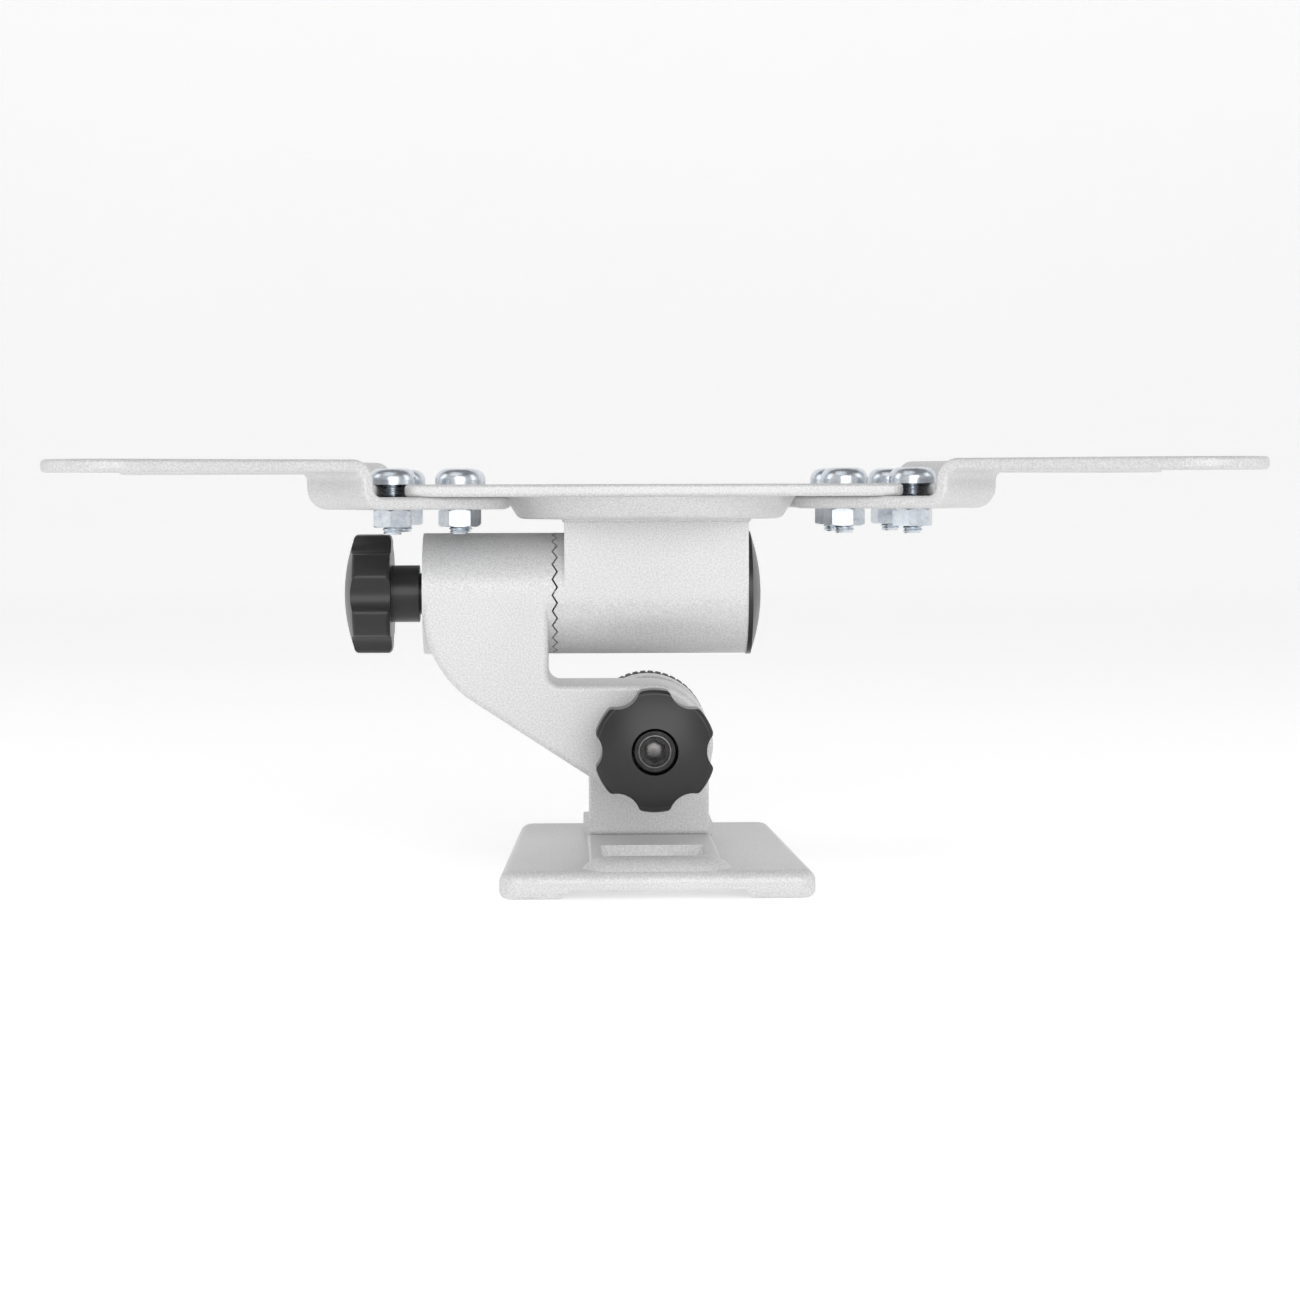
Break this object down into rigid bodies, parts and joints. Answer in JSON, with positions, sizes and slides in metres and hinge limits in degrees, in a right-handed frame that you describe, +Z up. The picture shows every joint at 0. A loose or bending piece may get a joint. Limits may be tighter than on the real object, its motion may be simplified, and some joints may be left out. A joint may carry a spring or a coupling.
{
  "type": "tilt and swivel mounting bracket",
  "caption": "Grey metal tilt and swivel bracket: flat base, cast arm with toothed joint, star knobs, centre plate and diagonal adapter arms with a rectangular hole pattern.",
  "frame": {"origin": "centre of the base's underside, on the surface it stands on", "axes": "+Z up, +X along the swivel axis towards the end cap, -Y towards the tilt knob"},
  "size_m": [0.224, 0.124, 0.082],
  "materials": {
    "powder_coat": "fine silver-grey powder coat",
    "black_plastic": "satin black moulded plastic",
    "black_steel": "black oxide",
    "zinc": "bright bluish zinc plating",
    "nylon": "black nylon",
    "brass": "turned brass"
  },
  "bodies": {
    "base": {"base_plate": "powder_coat", "pivot_ear": "powder_coat", "friction_disc": "nylon", "lock_ring": "black_plastic", "tilt_nut": "zinc"},
    "arm": {"swing_arm": "powder_coat"},
    "tilt_washer": {"tilt_washer": "black_steel"},
    "tilt_knob": {"tilt_knob": "black_plastic", "tilt_screw": "black_steel"},
    "head": {"neck_tube": "powder_coat", "end_cap": "black_plastic", "swivel_bolt": "zinc", "bolt_washer": "zinc", "centre_plate": "powder_coat", "arm_front_left": "powder_coat", "arm_front_right": "powder_coat", "arm_rear_left": "powder_coat", "arm_rear_right": "powder_coat", "screw_inner_front_left": "zinc", "screw_inner_front_right": "zinc", "screw_inner_rear_left": "zinc", "screw_inner_rear_right": "zinc", "screw_outer_front_left": "zinc", "screw_outer_front_right": "zinc", "screw_outer_rear_left": "zinc", "screw_outer_rear_right": "zinc", "nut_inner_front_left": "zinc", "nut_inner_front_right": "zinc", "nut_inner_rear_left": "zinc", "nut_inner_rear_right": "zinc", "nut_outer_front_left": "zinc", "nut_outer_front_right": "zinc", "nut_outer_rear_left": "zinc", "nut_outer_rear_right": "zinc"},
    "swivel_washer": {"swivel_washer": "black_steel"},
    "swivel_knob": {"swivel_knob": "black_plastic", "knob_insert": "brass"}
  },
  "joints": [
    {"name": "tilt", "type": "hinge", "parent": "base", "child": "arm", "pos_m": [0, 0, 0.0262], "axis": [0, 1, 0], "range_deg": [-35, 35]},
    {"name": "swivel", "type": "hinge", "parent": "arm", "child": "head", "pos_m": [0, 0, 0.0557], "axis": [1, 0, 0], "range_deg": [-45, 45]},
    {"name": "tilt_knob_advance", "type": "slide", "parent": "base", "child": "tilt_washer", "axis": [0, -1, 0], "range_m": [0, 0.0018]},
    {"name": "tilt_knob_turn", "type": "hinge", "parent": "tilt_washer", "child": "tilt_knob", "pos_m": [0, -0.02, 0.0262], "axis": [0, -1, 0], "range_deg": [0, 720]},
    {"name": "swivel_knob_advance", "type": "slide", "parent": "arm", "child": "swivel_washer", "axis": [-1, 0, 0], "range_m": [0, 0.0018]},
    {"name": "swivel_knob_turn", "type": "hinge", "parent": "swivel_washer", "child": "swivel_knob", "pos_m": [-0.05, 0, 0.0557], "axis": [-1, 0, 0], "range_deg": [0, 720]}
  ],
  "couplings": [
    {"joint": "tilt_knob_advance", "follows": "tilt_knob_turn", "m_per_rad": 0.00012732},
    {"joint": "swivel_knob_advance", "follows": "swivel_knob_turn", "m_per_rad": 0.00012732}
  ]
}
